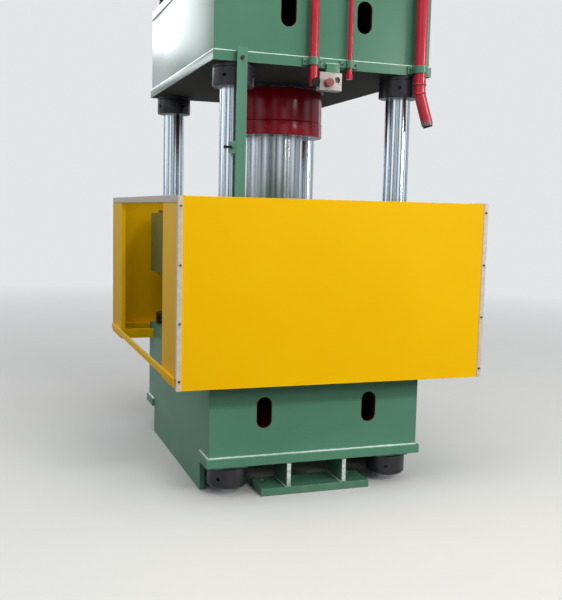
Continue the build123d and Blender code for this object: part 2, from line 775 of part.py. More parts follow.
ejector_cylinder_bottom = bed_bottom - ejector_flange_thickness
with BuildPart() as ejector_cylinder:
    with BuildSketch(Plane.XY.offset(ejector_cylinder_bottom)):
        Circle(ejector_flange_diameter / 2)
    extrude(amount=ejector_flange_thickness)
    with BuildSketch(Plane.XY.offset(bed_bottom)):
        Circle(ejector_cylinder_diameter / 2)
    extrude(amount=ejector_cylinder_top - bed_bottom)
    with BuildSketch(Plane.XY.offset(bed_bottom)):
        Circle(ejector_inner_radius)
    extrude(amount=ejector_cylinder_top - bed_bottom - ejector_cylinder_wall, mode=Mode.SUBTRACT)
    with BuildSketch(Plane.XY.offset(ejector_cylinder_top)):
        Circle(ejector_rod_diameter / 2 + running_clearance)
    extrude(amount=-ejector_cylinder_wall, mode=Mode.SUBTRACT)
save(ejector_cylinder, "ejector_cylinder")


# Pipes: up the crown's front face, over its top edge and back to a header beside the cylinder
pipe_top = crown_top + pipe_top_above_crown
pipe_back_y = -cylinder_shoulder_diameter / 2 - header_clearance - header_depth
mitre_turn = radians(large_pipe_slant / 2)
mitre_plane = Plane(
    origin=(large_pipe_x, large_pipe_y, large_pipe_mitre),
    z_dir=(-sin(mitre_turn), 0, cos(mitre_turn)),
)


def front_pipe_solid(diameter, wall, x, low, bend):
    """A round pipe that rises from low and turns back over the crown, bent at bend diameters."""
    y = clamp_face - pipe_standoff - diameter / 2
    with BuildPart() as pipe:
        with BuildLine() as route:
            FilletPolyline((x, y, low), (x, y, pipe_top), (x, pipe_back_y, pipe_top), radius=bend * diameter)
        with BuildSketch(Plane(origin=(x, y, low), z_dir=(0, 0, 1))):
            Circle(diameter / 2)
            Circle(diameter / 2 - wall, mode=Mode.SUBTRACT)
        sweep(path=route.wires()[0])
    return pipe.part


with BuildPart() as large_pipe:
    large_pipe_start = large_pipe_mitre - large_pipe_diameter / 2
    add(front_pipe_solid(large_pipe_diameter, pipe_wall, large_pipe_x, large_pipe_start, pipe_bend))
    split(bisect_by=mitre_plane, keep=Keep.TOP)
save(large_pipe, "large_pipe")

with BuildPart() as medium_pipe:
    add(front_pipe_solid(medium_pipe_diameter, pipe_wall, medium_pipe_x, medium_pipe_end, pipe_bend))
save(medium_pipe, "medium_pipe")

with BuildPart() as small_pipe:
    add(front_pipe_solid(small_pipe_diameter, small_pipe_wall, small_pipe_x, small_pipe_end, small_pipe_bend))
save(small_pipe, "small_pipe")

# Open tail of the large pipe, mitred on at its lower end
tail_direction = (sin(radians(large_pipe_slant)), 0, -cos(radians(large_pipe_slant)))
tail_end = (
    large_pipe_x + large_pipe_leg * tail_direction[0],
    large_pipe_y,
    large_pipe_mitre + large_pipe_leg * tail_direction[2],
)
with BuildPart() as large_pipe_tail:
    with BuildSketch(Plane(origin=tail_end, x_dir=(0, 1, 0), z_dir=tail_direction)):
        Circle(large_pipe_diameter / 2)
        Circle(large_pipe_diameter / 2 - pipe_wall, mode=Mode.SUBTRACT)
    extrude(amount=-large_pipe_leg - large_pipe_diameter)
    split(bisect_by=mitre_plane, keep=Keep.BOTTOM)
save(large_pipe_tail, "large_pipe_tail")

# Header on the crown's top that the three pipes run into
with BuildPart() as pipe_header:
    with BuildSketch(Plane.XY.offset(crown_top)):
        with Locations(((large_pipe_x + medium_pipe_x) / 2, pipe_back_y + header_depth / 2)):
            Rectangle(large_pipe_x - medium_pipe_x + 2 * large_pipe_diameter, header_depth)
    extrude(amount=pipe_top_above_crown + large_pipe_diameter)
    chamfer(pipe_header.edges().filter_by(Axis.Z), header_edge)
save(pipe_header, "pipe_header")

# Saddle clamps and their bolts
clamp_places = [
    (large_pipe_x, large_pipe_y, large_pipe_diameter, large_clamp_length),
    (medium_pipe_x, medium_pipe_y, medium_pipe_diameter, medium_clamp_length),
    (small_pipe_x, small_pipe_y, small_pipe_diameter, small_clamp_length),
]
with BuildPart() as pipe_clamps:
    for x, y, diameter, length in clamp_places:
        with BuildSketch(Plane.XY.offset(clamp_centre_height - clamp_height / 2)):
            with Locations((x, clamp_face - clamp_thickness / 2)):
                Rectangle(length, clamp_thickness)
            with Locations((x, (clamp_face + y) / 2)):
                Rectangle(diameter + 2 * clamp_wrap, clamp_face - y)
            with Locations((x, y)):
                Circle(diameter / 2 + clamp_wrap)
                Circle(diameter / 2, mode=Mode.SUBTRACT)
        extrude(amount=clamp_height)
save(pipe_clamps, "pipe_clamps")

with BuildPart() as clamp_bolts:
    for x, y, diameter, length in clamp_places:
        with BuildSketch(facing_front(x, clamp_face - clamp_thickness, clamp_centre_height)):
            with GridLocations(length - 2 * clamp_bolt_from_end, 0, 2, 1):
                RegularPolygon(clamp_bolt_head / 2, 6)
        extrude(amount=clamp_bolt_head_height)
save(clamp_bolts, "clamp_bolts")

# Port block, the hanger that holds it, its red stub and the black cap on the pipe end beside it
block_bottom = block_top - block_height
block_front = clamp_face - block_depth
with BuildPart() as port_block:
    with BuildSketch(Plane.XY.offset(block_bottom)):
        with Locations((block_left + block_width / 2, clamp_face - block_depth / 2)):
            Rectangle(block_width, block_depth)
    extrude(amount=block_height)
    chamfer(port_block.edges(), block_edge)
    port_x = block_left + block_width - block_port_from_right
    with BuildSketch(facing_front(port_x, block_front, block_bottom + block_port_height)):
        Circle(block_port_diameter / 2)
    extrude(amount=-block_port_depth, mode=Mode.SUBTRACT)
save(port_block, "port_block")

with BuildPart() as block_hanger:
    with BuildSketch(Plane.XY.offset(block_top)):
        with Locations((block_left + hanger_centre_from_left, clamp_face - hanger_thickness / 2)):
            Rectangle(hanger_width, hanger_thickness)
    extrude(amount=hanger_height)
save(block_hanger, "block_hanger")

with BuildPart() as block_stub:
    with BuildSketch(facing_front(block_left + stub_from_left, block_front, block_bottom + stub_height)):
        Circle(stub_diameter / 2)
    extrude(amount=stub_length)
save(block_stub, "block_stub")

cap_y = medium_pipe_y - medium_pipe_diameter / 2
with BuildPart() as pipe_caps:
    with BuildSketch(facing_front(medium_pipe_x + port_cap_from_axis, cap_y, block_bottom + stub_height)):
        Circle(port_cap_diameter / 2)
    extrude(amount=port_cap_length)
    with BuildSketch(Plane(origin=tail_end, x_dir=(0, 1, 0), z_dir=tail_direction)):
        Circle(large_pipe_diameter / 2 - pipe_wall)
    extrude(amount=-plug_length)
    with BuildSketch(Plane(origin=tail_end, x_dir=(0, 1, 0), z_dir=tail_direction)):
        Circle(large_pipe_diameter / 2 - pipe_wall)
    extrude(amount=plug_head)
save(pipe_caps, "pipe_caps")

with BuildPart() as small_pipe_nut:
    with BuildSketch(Plane.XY.offset(small_pipe_end - fitting_height)):
        with Locations((small_pipe_x, small_pipe_y)):
            RegularPolygon(fitting_across / 2, 6)
    extrude(amount=fitting_height)
save(small_pipe_nut, "small_pipe_nut")

# Stroke bar, held off the crown's plate and the bed's front wall by a pad at each end
bar_bolt_heights = [crown_bottom + bar_crown_bolt_height] + [bed_top - depth for depth in bar_bed_bolt_depths]
with BuildPart() as stroke_bar:
    with BuildSketch(Plane.XY.offset(bar_bottom)):
        with Locations((bar_x, bar_back - bar_thickness / 2)):
            Rectangle(bar_width, bar_thickness)
    extrude(amount=bar_top - bar_bottom)
    for pad_bottom, pad_height, pad_face in (
        (crown_bottom, crown_plate, clamp_face),
        (bar_bottom, bar_pad_height, -bed_front),
    ):
        with BuildSketch(Plane.XY.offset(pad_bottom)):
            with Locations((bar_x, (pad_face + bar_back) / 2)):
                Rectangle(bar_width, pad_face - bar_back)
        extrude(amount=pad_height)
    chamfer(stroke_bar.faces().sort_by(Axis.Y)[0].edges().filter_by(Axis.Z), bar_edge)
save(stroke_bar, "stroke_bar")

with BuildPart() as bar_bolts:
    for z in bar_bolt_heights:
        with BuildSketch(facing_front(bar_x, bar_face, z)):
            RegularPolygon(bar_bolt_head / 2, 6)
        extrude(amount=bar_bolt_head_height)
save(bar_bolts, "bar_bolts")

# Limit switches: a plate clamped behind the bar, the switch body beside it and a roller lever
switch_x = bar_x - bar_width / 2 - switch_gap - switch_body_width / 2
switch_plate_width = bar_width + switch_gap + switch_body_width
switch_plate_centre = bar_x + bar_width / 2 - switch_plate_width / 2
switch_front = bar_back - switch_body_depth
roller_reach = lever_length * sin(radians(lever_swing)) + lever_roller_diameter / 2 + roller_gap
dog_pin_top = head_top - dog_pin_drop
upper_pivot_height = dog_pin_top + travel_up + roller_reach
lower_pivot_height = dog_pin_top - dog_pin_height - travel_down - roller_reach
switch_bottoms = [pivot - switch_body_height / 2 for pivot in (upper_pivot_height, lower_pivot_height)]
with BuildPart() as switch_plates:
    for height in switch_bottoms:
        with BuildSketch(Plane.XY.offset(height)):
            with Locations((switch_plate_centre, bar_back + switch_plate_thickness / 2)):
                Rectangle(switch_plate_width, switch_plate_thickness)
        extrude(amount=switch_body_height)
save(switch_plates, "switch_plates")

with BuildPart() as limit_switches:
    for height in switch_bottoms:
        with BuildSketch(Plane.XY.offset(height)):
            with Locations((switch_x, switch_front + switch_body_depth / 2)):
                Rectangle(switch_body_width, switch_body_depth)
        extrude(amount=switch_body_height)
    fillet(limit_switches.edges().filter_by(Axis.Z), switch_corner)
    for height in (upper_pivot_height, lower_pivot_height):
        with BuildSketch(facing_front(switch_x, switch_front, height)):
            Circle(switch_shaft_diameter / 2)
        extrude(amount=switch_shaft_length)
save(limit_switches, "limit_switches")

lever_names = ("upper_switch_lever", "lower_switch_lever")
for lever_name, pivot_z in zip(lever_names, (upper_pivot_height, lower_pivot_height)):
    lever_origin = (switch_x, switch_front - lever_gap, pivot_z)
    lever_plane = Plane(origin=lever_origin, x_dir=(-1, 0, 0), z_dir=(0, -1, 0))
    with BuildPart() as lever:
        with BuildSketch(lever_plane):
            with Locations((lever_length / 2, 0)):
                SlotOverall(lever_length + lever_end_width, lever_end_width)
            Circle(switch_shaft_diameter / 2 + shaft_clearance, mode=Mode.SUBTRACT)
        extrude(amount=lever_thickness)
        with BuildSketch(lever_plane.offset(lever_thickness)):
            with Locations((lever_length, 0)):
                Circle(lever_roller_diameter / 2)
        extrude(amount=lever_roller_width)
    save(lever, lever_name)

# Trip dog on the crosshead's front, beside the bar
dog_x = switch_x - lever_length
dog_pin_front = -switch_front + lever_gap + lever_thickness + lever_roller_width
with BuildPart() as trip_dog:
    with BuildSketch(Plane.XY.offset(head_top - dog_length)):
        with Locations((dog_x, -head_front - dog_thickness / 2)):
            Rectangle(dog_width, dog_thickness)
    extrude(amount=dog_length)
    with BuildSketch(facing_front(dog_x, -head_front - dog_thickness, dog_pin_top - dog_pin_height / 2)):
        Rectangle(dog_pin_width, dog_pin_height)
    extrude(amount=dog_pin_front - head_front - dog_thickness)
save(trip_dog, "trip_dog")

# Guard: front and back panels folded round the corners, with lips inside their top and bottom edges
guard_width = guard_right - guard_left
guard_centre_x = (guard_right + guard_left) / 2
for panel_name, end in (("front_guard", -1), ("back_guard", 1)):
    outer_y = end * guard_front
    with BuildPart() as panel:
        with BuildSketch(Plane.XY.offset(guard_bottom)):
            with Locations((guard_centre_x, outer_y - end * guard_return / 2)):
                Rectangle(guard_width, guard_return)
            with Locations((guard_centre_x, outer_y - end * (guard_sheet + guard_return / 2))):
                Rectangle(guard_width - 2 * guard_sheet, guard_return, mode=Mode.SUBTRACT)
        extrude(amount=guard_height)
        for low in (guard_bottom, guard_top - guard_sheet):
            with BuildSketch(Plane.XY.offset(low)):
                with Locations((guard_centre_x, outer_y - end * guard_lip / 2)):
                    Rectangle(guard_width, guard_lip)
            extrude(amount=guard_sheet)
        hem_y = outer_y - end * (guard_return - guard_sheet / 2)
        with BuildSketch(Plane.XY.offset(guard_bottom)):
            for side, corner_x in ((-1, guard_left), (1, guard_right)):
                with Locations((corner_x - side * guard_hem / 2, hem_y)):
                    Rectangle(guard_hem, guard_sheet)
        extrude(amount=guard_height - guard_rail - guard_hem_gap)
    save(panel, panel_name)

# Rails that join the panels at both ends: the low ones outside the returns, the high ones inside them
low_rail_length = 2 * (guard_front + strip_thickness - strip_width - guard_rail_end_gap)
high_rail_length = 2 * (guard_front - guard_lip)
with BuildPart() as guard_rails:
    for low, rail_length, inset in (
        (guard_bottom + guard_rail_above_bottom, low_rail_length, -guard_rail_thickness / 2),
        (guard_top - guard_rail, high_rail_length, guard_sheet + guard_rail_thickness / 2),
    ):
        with BuildSketch(Plane.XY.offset(low)):
            for side, face_x in ((-1, guard_left), (1, guard_right)):
                with Locations((face_x - side * inset, 0)):
                    Rectangle(guard_rail_thickness, rail_length)
        extrude(amount=guard_rail)
    chamfer(guard_rails.edges().filter_by(Axis.Y), guard_rail_edge)
    with BuildSketch(Plane.XY.offset(guard_bottom + guard_sheet)):
        with GridLocations(0, 2 * (guard_front - guard_sheet) - guard_inner_rail_depth, 1, 2):
            with Locations((guard_centre_x, 0)):
                Rectangle(guard_width - 2 * guard_sheet, guard_inner_rail_depth)
    extrude(amount=guard_inner_rail_height)
save(guard_rails, "guard_rails")

# Angle strips on the four corners with a row of button head bolts, and along the top of both ends
with BuildPart() as corner_strips:
    with BuildSketch(Plane.XY.offset(guard_bottom)):
        for end in (-1, 1):
            for side, corner_x in ((-1, guard_left), (1, guard_right)):
                face_y = end * (guard_front + strip_thickness / 2)
                with Locations((corner_x - side * (strip_width / 2 - strip_thickness), face_y)):
                    Rectangle(strip_width, strip_thickness)
                edge_x = corner_x + side * strip_thickness / 2
                with Locations((edge_x, end * (guard_front + strip_thickness - strip_width / 2))):
                    Rectangle(strip_thickness, strip_width)
    extrude(amount=guard_height)
    with BuildSketch(Plane.XY.offset(guard_top - edge_strip_width)):
        for side, corner_x in ((-1, guard_left), (1, guard_right)):
            with Locations((corner_x + side * strip_thickness / 2, 0)):
                Rectangle(strip_thickness, low_rail_length)
    extrude(amount=edge_strip_width)
    with BuildSketch(Plane.XY.offset(guard_top)):
        for side, corner_x in ((-1, guard_left), (1, guard_right)):
            with Locations((corner_x - side * (edge_strip_width / 2 - strip_thickness), 0)):
                Rectangle(edge_strip_width, 2 * (guard_front + strip_thickness))
    extrude(amount=strip_thickness)
save(corner_strips, "guard_corner_strips")

strip_pitch = guard_width - 2 * strip_bolt_from_corner
strip_bolt_pitch = (guard_height - 2 * strip_bolt_end) / (strip_bolt_count - 1)
with BuildPart() as strip_bolts:
    for end in (-1, 1):
        head_plane = Plane(
            origin=(guard_centre_x, end * (guard_front + strip_thickness), (guard_bottom + guard_top) / 2),
            x_dir=(1, 0, 0), z_dir=(0, end, 0),
        )
        with BuildSketch(head_plane):
            with GridLocations(strip_pitch, strip_bolt_pitch, 2, strip_bolt_count):
                Circle(strip_bolt_head / 2)
        extrude(amount=strip_bolt_head_height)
save(strip_bolts, "guard_bolts")

# Arms from the bed's end walls to the guard panels, and from its side walls to the folded returns
arm_length = guard_front - guard_sheet - guard_inner_rail_depth - bed_front
side_arm_y = guard_front - guard_return + side_arm_from_edge + side_arm_thickness / 2
with BuildPart() as guard_arms:
    for end in (-1, 1):
        with BuildSketch(Plane.XY.offset(guard_bottom + guard_arm_above_bottom)):
            with Locations((0, end * (bed_front + arm_length / 2))):
                with GridLocations(guard_arm_pitch, 0, 2, 1):
                    Rectangle(guard_arm, arm_length)
        extrude(amount=guard_arm)
        with BuildSketch(Plane.XY.offset(guard_bottom)):
            for wall_x, inner_x in (
                (-bed_inner_width / 2, guard_left + guard_sheet),
                (bed_inner_width / 2, guard_right - guard_sheet),
            ):
                with Locations(((wall_x + inner_x) / 2, end * side_arm_y)):
                    Rectangle(abs(inner_x - wall_x), side_arm_thickness)
        extrude(amount=side_arm_height)
save(guard_arms, "guard_arms")
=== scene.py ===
"""A four-column hydraulic press, dressed for looks around its CAD frame.

The CAD nodes keep their shapes and get softened edges and real finishes. The chromed columns and the
ram, the weld beads and the filler on the foot ribs are modelled here. Metres throughout.
"""

import math

import bpy
from mathutils import Matrix, Vector


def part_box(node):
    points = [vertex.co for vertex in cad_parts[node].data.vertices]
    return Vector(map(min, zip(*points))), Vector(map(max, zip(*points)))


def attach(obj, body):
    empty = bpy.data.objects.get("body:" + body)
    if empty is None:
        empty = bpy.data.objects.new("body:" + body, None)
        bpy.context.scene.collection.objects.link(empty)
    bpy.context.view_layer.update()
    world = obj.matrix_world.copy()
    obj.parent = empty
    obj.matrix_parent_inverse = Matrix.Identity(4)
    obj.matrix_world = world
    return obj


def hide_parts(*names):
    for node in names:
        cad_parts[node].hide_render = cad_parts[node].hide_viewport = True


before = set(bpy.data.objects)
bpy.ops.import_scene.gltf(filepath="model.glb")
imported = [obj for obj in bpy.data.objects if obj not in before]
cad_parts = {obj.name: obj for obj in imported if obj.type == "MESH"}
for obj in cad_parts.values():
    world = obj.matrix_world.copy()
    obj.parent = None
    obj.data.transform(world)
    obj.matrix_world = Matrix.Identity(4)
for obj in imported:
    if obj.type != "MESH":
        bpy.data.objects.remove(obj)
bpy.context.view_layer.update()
bpy.ops.object.select_all(action="DESELECT")

# ---------------------------------------------------------------- camera
CAMERA_PLACE = (-1.85704, -5.45809, 1.65764)
CAMERA_YAW = 19.49
CAMERA_PITCH = -6.02
CAMERA_ROLL = 1.33
CAMERA_LENS = 50.96


def place_camera():
    """The camera at the photograph's place and turn, with no shift."""
    yaw, pitch, roll = (math.radians(turn) for turn in (CAMERA_YAW, CAMERA_PITCH, CAMERA_ROLL))
    ahead = Vector((math.sin(yaw) * math.cos(pitch), math.cos(yaw) * math.cos(pitch), math.sin(pitch)))
    level_right = Vector((math.cos(yaw), -math.sin(yaw), 0.0))
    level_up = level_right.cross(ahead)
    right = level_right * math.cos(roll) + level_up * math.sin(roll)
    up = level_up * math.cos(roll) - level_right * math.sin(roll)
    lens = bpy.data.cameras.new("camera")
    lens.lens = CAMERA_LENS
    lens.sensor_width = 36.0
    camera = bpy.data.objects.new("camera", lens)
    bpy.context.scene.collection.objects.link(camera)
    turn = Matrix((right, up, -ahead)).transposed()
    camera.matrix_world = Matrix.Translation(CAMERA_PLACE) @ turn.to_4x4()
    bpy.context.scene.camera = camera


place_camera()


# ---------------------------------------------------------------- materials
def linear(hex_colour):
    """An sRGB hex colour as linear RGBA."""
    channels = [int(hex_colour[at:at + 2], 16) / 255.0 for at in (1, 3, 5)]
    return [c / 12.92 if c <= 0.04045 else ((c + 0.055) / 1.055) ** 2.4 for c in channels] + [1.0]


def add_node(tree, kind, links=None, out=0, **settings):
    """Adds one shader node with its settings and links, and gives back its output number or name out."""
    made = tree.nodes.new("ShaderNode" + kind)
    for name, value in settings.items():
        setattr(made, name, value)
    for socket, value in (links or {}).items():
        if isinstance(value, bpy.types.NodeSocket):
            tree.links.new(value, made.inputs[socket])
        else:
            made.inputs[socket].default_value = value
    return made.outputs[out] if made.outputs else None


def start_material(name):
    """An empty node material with its tree, and the Object coordinates that every pattern reads."""
    material = bpy.data.materials.new(name)
    material.use_nodes = True
    tree = material.node_tree
    tree.nodes.clear()
    return material, tree, add_node(tree, "TexCoord", out="Object")


def patches(tree, place, size_mm, low, high, stretch=(1.0, 1.0, 1.0), detail=4.0):
    """A cloudy pattern about size_mm across: 0 where its noise is under low, 1 where it is over high."""
    moved = add_node(tree, "Mapping", {"Vector": place, "Scale": stretch})
    grain = add_node(tree, "TexNoise", {"Vector": moved, "Scale": 1000.0 / size_mm, "Detail": detail})
    return add_node(tree, "MapRange", {"Value": grain, "From Min": low, "From Max": high}, clamp=True)


def relief(tree, place, size_mm, depth_mm, stretch=(1.0, 1.0, 1.0), under=None):
    """The normal of a surface with bumps about size_mm across and depth_mm deep, over the normal under."""
    moved = add_node(tree, "Mapping", {"Vector": place, "Scale": stretch})
    grain = add_node(tree, "TexNoise", {"Vector": moved, "Scale": 1000.0 / size_mm, "Detail": 2.0})
    links = {"Height": grain, "Distance": depth_mm / 1000.0, "Strength": 1.0}
    if under is not None:
        links["Normal"] = under
    return add_node(tree, "Bump", links)


def worn_edges(tree, place, width_mm, patch_mm):
    """1 on broken patches along the outer edges, within width_mm of them."""
    soft = add_node(tree, "Bevel", {"Radius": width_mm / 1000.0}, samples=4)
    true = add_node(tree, "NewGeometry", out="Normal")
    same = add_node(tree, "VectorMath", {0: soft, 1: true}, out="Value", operation="DOT_PRODUCT")
    rounded = add_node(tree, "MapRange", {"Value": same, "From Min": 0.97, "From Max": 0.80}, clamp=True)
    broken = patches(tree, place, patch_mm, 0.46, 0.60)
    return add_node(tree, "Math", {0: rounded, 1: broken}, operation="MULTIPLY")


def inside_box(tree, place, half_size, middle):
    """1 inside an upright box, 0 outside it, as the closed inside of a welded body."""
    moved = add_node(tree, "VectorMath", {0: place, 1: middle}, operation="SUBTRACT")
    size = add_node(tree, "VectorMath", {0: moved, 1: half_size}, operation="DIVIDE")
    away = add_node(tree, "VectorMath", {0: size}, operation="ABSOLUTE")
    across = add_node(tree, "SeparateXYZ", {"Vector": away}, out="X")
    deep = add_node(tree, "SeparateXYZ", {"Vector": away}, out="Y")
    tall = add_node(tree, "SeparateXYZ", {"Vector": away}, out="Z")
    wide = add_node(tree, "Math", {0: across, 1: deep}, operation="MAXIMUM")
    most = add_node(tree, "Math", {0: wide, 1: tall}, operation="MAXIMUM")
    return add_node(tree, "Math", {0: most, 1: 1.0}, operation="LESS_THAN")


DUST_COLOUR, DUST_TOP = "#8E9088", 0.10
PRIMER_COLOUR = "#641220"
# Painted shade: the near-black colour and matt finish put on the crown's underside.
PAINTED_SHADE_COLOUR, SHADED_ROUGHNESS = "#1E1C1D", 0.85


def plate_enamel(
    name, colours, worn_colour, roughness=0.25, primer_box=None, painted_shade_below=None, sheen_level=0.5
):
    """Sprayed satin enamel on plate: an even green, a soft sheen at low angles, pale worn edges, floor dust.

    The closed inside of the box shows dark red primer. Below a given height the underside is painted near
    black and matt, as painted shade.
    """
    material, tree, place = start_material(name)
    clouds = patches(tree, place, 500.0, 0.3, 0.7)
    shade = add_node(
        tree, "Mix", {0: clouds, 6: linear(colours[0]), 7: linear(colours[1])}, out=2, data_type="RGBA"
    )
    worn = worn_edges(tree, place, 4.0, 28.0)
    shade = add_node(tree, "Mix", {0: worn, 6: shade, 7: linear(worn_colour)}, out=2, data_type="RGBA")
    height = add_node(tree, "SeparateXYZ", {"Vector": place}, out="Z")
    low = add_node(tree, "MapRange", {"Value": height, "From Min": DUST_TOP, "From Max": 0.0}, clamp=True)
    dusty = patches(tree, place, 90.0, 0.52, 0.95)
    dust = add_node(tree, "Math", {0: low, 1: dusty}, operation="MULTIPLY")
    shade = add_node(tree, "Mix", {0: dust, 6: shade, 7: linear(DUST_COLOUR)}, out=2, data_type="RGBA")
    if primer_box is not None:
        inside = inside_box(tree, place, *primer_box)
        links = {0: inside, 6: shade, 7: linear(PRIMER_COLOUR)}
        shade = add_node(tree, "Mix", links, out=2, data_type="RGBA")
    # Painted shade: below the given height the enamel turns near black and matt.
    if painted_shade_below is not None:
        under = add_node(tree, "Math", {0: height, 1: painted_shade_below}, operation="LESS_THAN")
        shade = add_node(tree, "Mix", {0: under, 6: shade, 7: linear(PAINTED_SHADE_COLOUR)}, out=2, data_type="RGBA")
        ends = {"Value": under, "To Min": roughness, "To Max": SHADED_ROUGHNESS}
        roughness = add_node(tree, "MapRange", ends)
    peel = relief(tree, place, 4.0, 0.02)
    wave = relief(tree, place, 220.0, 0.35, under=peel)
    links = {"Base Color": shade, "Roughness": roughness, "Normal": wave, "Specular IOR Level": sheen_level}
    body = add_node(tree, "BsdfPrincipled", links)
    add_node(tree, "OutputMaterial", {"Surface": body})
    return material


def sheet_enamel(name):
    """Powder coated sheet steel: a full, even yellow with fine orange peel and a slight wave in the sheet."""
    material, tree, place = start_material(name)
    clouds = patches(tree, place, 700.0, 0.25, 0.75)
    shade = add_node(
        tree, "Mix", {0: clouds, 6: linear("#FFC800"), 7: linear("#FCC000")}, out=2, data_type="RGBA"
    )
    worn = worn_edges(tree, place, 2.5, 40.0)
    shade = add_node(tree, "Mix", {0: worn, 6: shade, 7: linear("#FBE3A0")}, out=2, data_type="RGBA")
    peel = relief(tree, place, 3.0, 0.02)
    wave = relief(tree, place, 450.0, 0.9, under=peel)
    links = {"Base Color": shade, "Roughness": 0.5, "Normal": wave, "Specular IOR Level": 0.08}
    body = add_node(tree, "BsdfPrincipled", links)
    add_node(tree, "OutputMaterial", {"Surface": body})
    return material


def hard_chrome(name, colours, roughness):
    """Hard chrome ground round the shaft: reflections drawn along it in clean bands, and faint lighter and
    darker stripes along it as painted reflection bands.
    """
    material, tree, place = start_material(name)
    # Painted reflection: lighter and darker stripes along the shaft in the base colour.
    painted_reflection_streaks = patches(tree, place, 26.0, 0.35, 0.75, (1.0, 1.0, 0.03))
    shade = add_node(
        tree, "Mix", {0: painted_reflection_streaks, 6: linear(colours[0]), 7: linear(colours[1])}, out=2, data_type="RGBA"
    )
    rough = add_node(tree, "MapRange", {"Value": painted_reflection_streaks, "To Min": roughness, "To Max": roughness + 0.05})
    links = {
        "Base Color": shade, "Roughness": rough, "Metallic": 1.0,
        "Anisotropic": 0.9, "Anisotropic Rotation": 0.25,
        "Tangent": add_node(tree, "Tangent", direction_type="RADIAL", axis="Z"),
    }
    body = add_node(tree, "BsdfPrincipled", links)
    add_node(tree, "OutputMaterial", {"Surface": body})
    return material


def black_oxide(name):
    """Turned steel with a hot black oxide finish: near black, half matt, turning marks, bare at the edges."""
    material, tree, place = start_material(name)
    clouds = patches(tree, place, 60.0, 0.35, 0.7)
    shade = add_node(
        tree, "Mix", {0: clouds, 6: linear("#2C2C31"), 7: linear("#3A3A40")}, out=2, data_type="RGBA"
    )
    worn = worn_edges(tree, place, 4.0, 14.0)
    shade = add_node(tree, "Mix", {0: worn, 6: shade, 7: linear("#B8B8BE")}, out=2, data_type="RGBA")
    lines = relief(tree, place, 3.0, 0.03, (0.05, 0.05, 1.0))
    links = {"Base Color": shade, "Roughness": 0.36, "Normal": lines, "Metallic": 0.5}
    body = add_node(tree, "BsdfPrincipled", links)
    add_node(tree, "OutputMaterial", {"Surface": body})
    return material


def gloss_enamel(name, colours, bare_end=None, sheen_level=0.5):
    """Brushed gloss enamel: a full red, sharp highlights, brush marks along the piece, dark in its nicks.

    Above bare_end it is painted, and below it the metal shows with a ragged edge.
    """
    material, tree, place = start_material(name)
    clouds = patches(tree, place, 140.0, 0.3, 0.7)
    shade = add_node(
        tree, "Mix", {0: clouds, 6: linear(colours[0]), 7: linear(colours[1])}, out=2, data_type="RGBA"
    )
    worn = worn_edges(tree, place, 2.0, 20.0)
    shade = add_node(tree, "Mix", {0: worn, 6: shade, 7: linear("#4A1A20")}, out=2, data_type="RGBA")
    if bare_end is not None:
        height = add_node(tree, "SeparateXYZ", {"Vector": place}, out="Z")
        ragged = patches(tree, place, 20.0, 0.2, 0.8)
        edge = add_node(tree, "Math", {0: ragged, 1: 0.02, 2: height}, operation="MULTIPLY_ADD")
        bare = add_node(
            tree, "MapRange", {"Value": edge, "From Min": bare_end[1], "From Max": bare_end[0]}, clamp=True
        )
        shade = add_node(tree, "Mix", {0: bare, 6: shade, 7: linear("#77707A")}, out=2, data_type="RGBA")
    drag = relief(tree, place, 7.0, 0.04, (1.0, 1.0, 0.15))
    links = {"Base Color": shade, "Roughness": 0.18, "Normal": drag, "Specular IOR Level": sheen_level}
    body = add_node(tree, "BsdfPrincipled", links)
    add_node(tree, "OutputMaterial", {"Surface": body})
    return material


def machined_steel(name, colour, roughness, size_mm):
    """Milled or turned bare steel: bright, with cutter lines, a light oil film and thin brown stains."""
    material, tree, place = start_material(name)
    stains = patches(tree, place, 35.0, 0.52, 0.90, detail=6.0)
    shade = add_node(
        tree, "Mix", {0: stains, 6: linear(colour), 7: linear("#7A6660")}, out=2, data_type="RGBA"
    )
    lines = relief(tree, place, size_mm, 0.03, (1.0, 0.1, 0.1))
    links = {"Base Color": shade, "Roughness": roughness, "Normal": lines, "Metallic": 0.75}
    body = add_node(tree, "BsdfPrincipled", links)
    add_node(tree, "OutputMaterial", {"Surface": body})
    return material


def plain_finish(name, colours, roughness, grain_mm, depth_mm, metallic=0.0, sheen_level=0.5):
    """Small moulded or turned parts: an even colour, slight mottling and a fine grain."""
    material, tree, place = start_material(name)
    clouds = patches(tree, place, 25.0, 0.3, 0.7)
    shade = add_node(
        tree, "Mix", {0: clouds, 6: linear(colours[0]), 7: linear(colours[1])}, out=2, data_type="RGBA"
    )
    grain = relief(tree, place, grain_mm, depth_mm)
    links = {
        "Base Color": shade, "Roughness": roughness, "Normal": grain, "Metallic": metallic,
        "Specular IOR Level": sheen_level,
    }
    body = add_node(tree, "BsdfPrincipled", links)
    add_node(tree, "OutputMaterial", {"Surface": body})
    return material


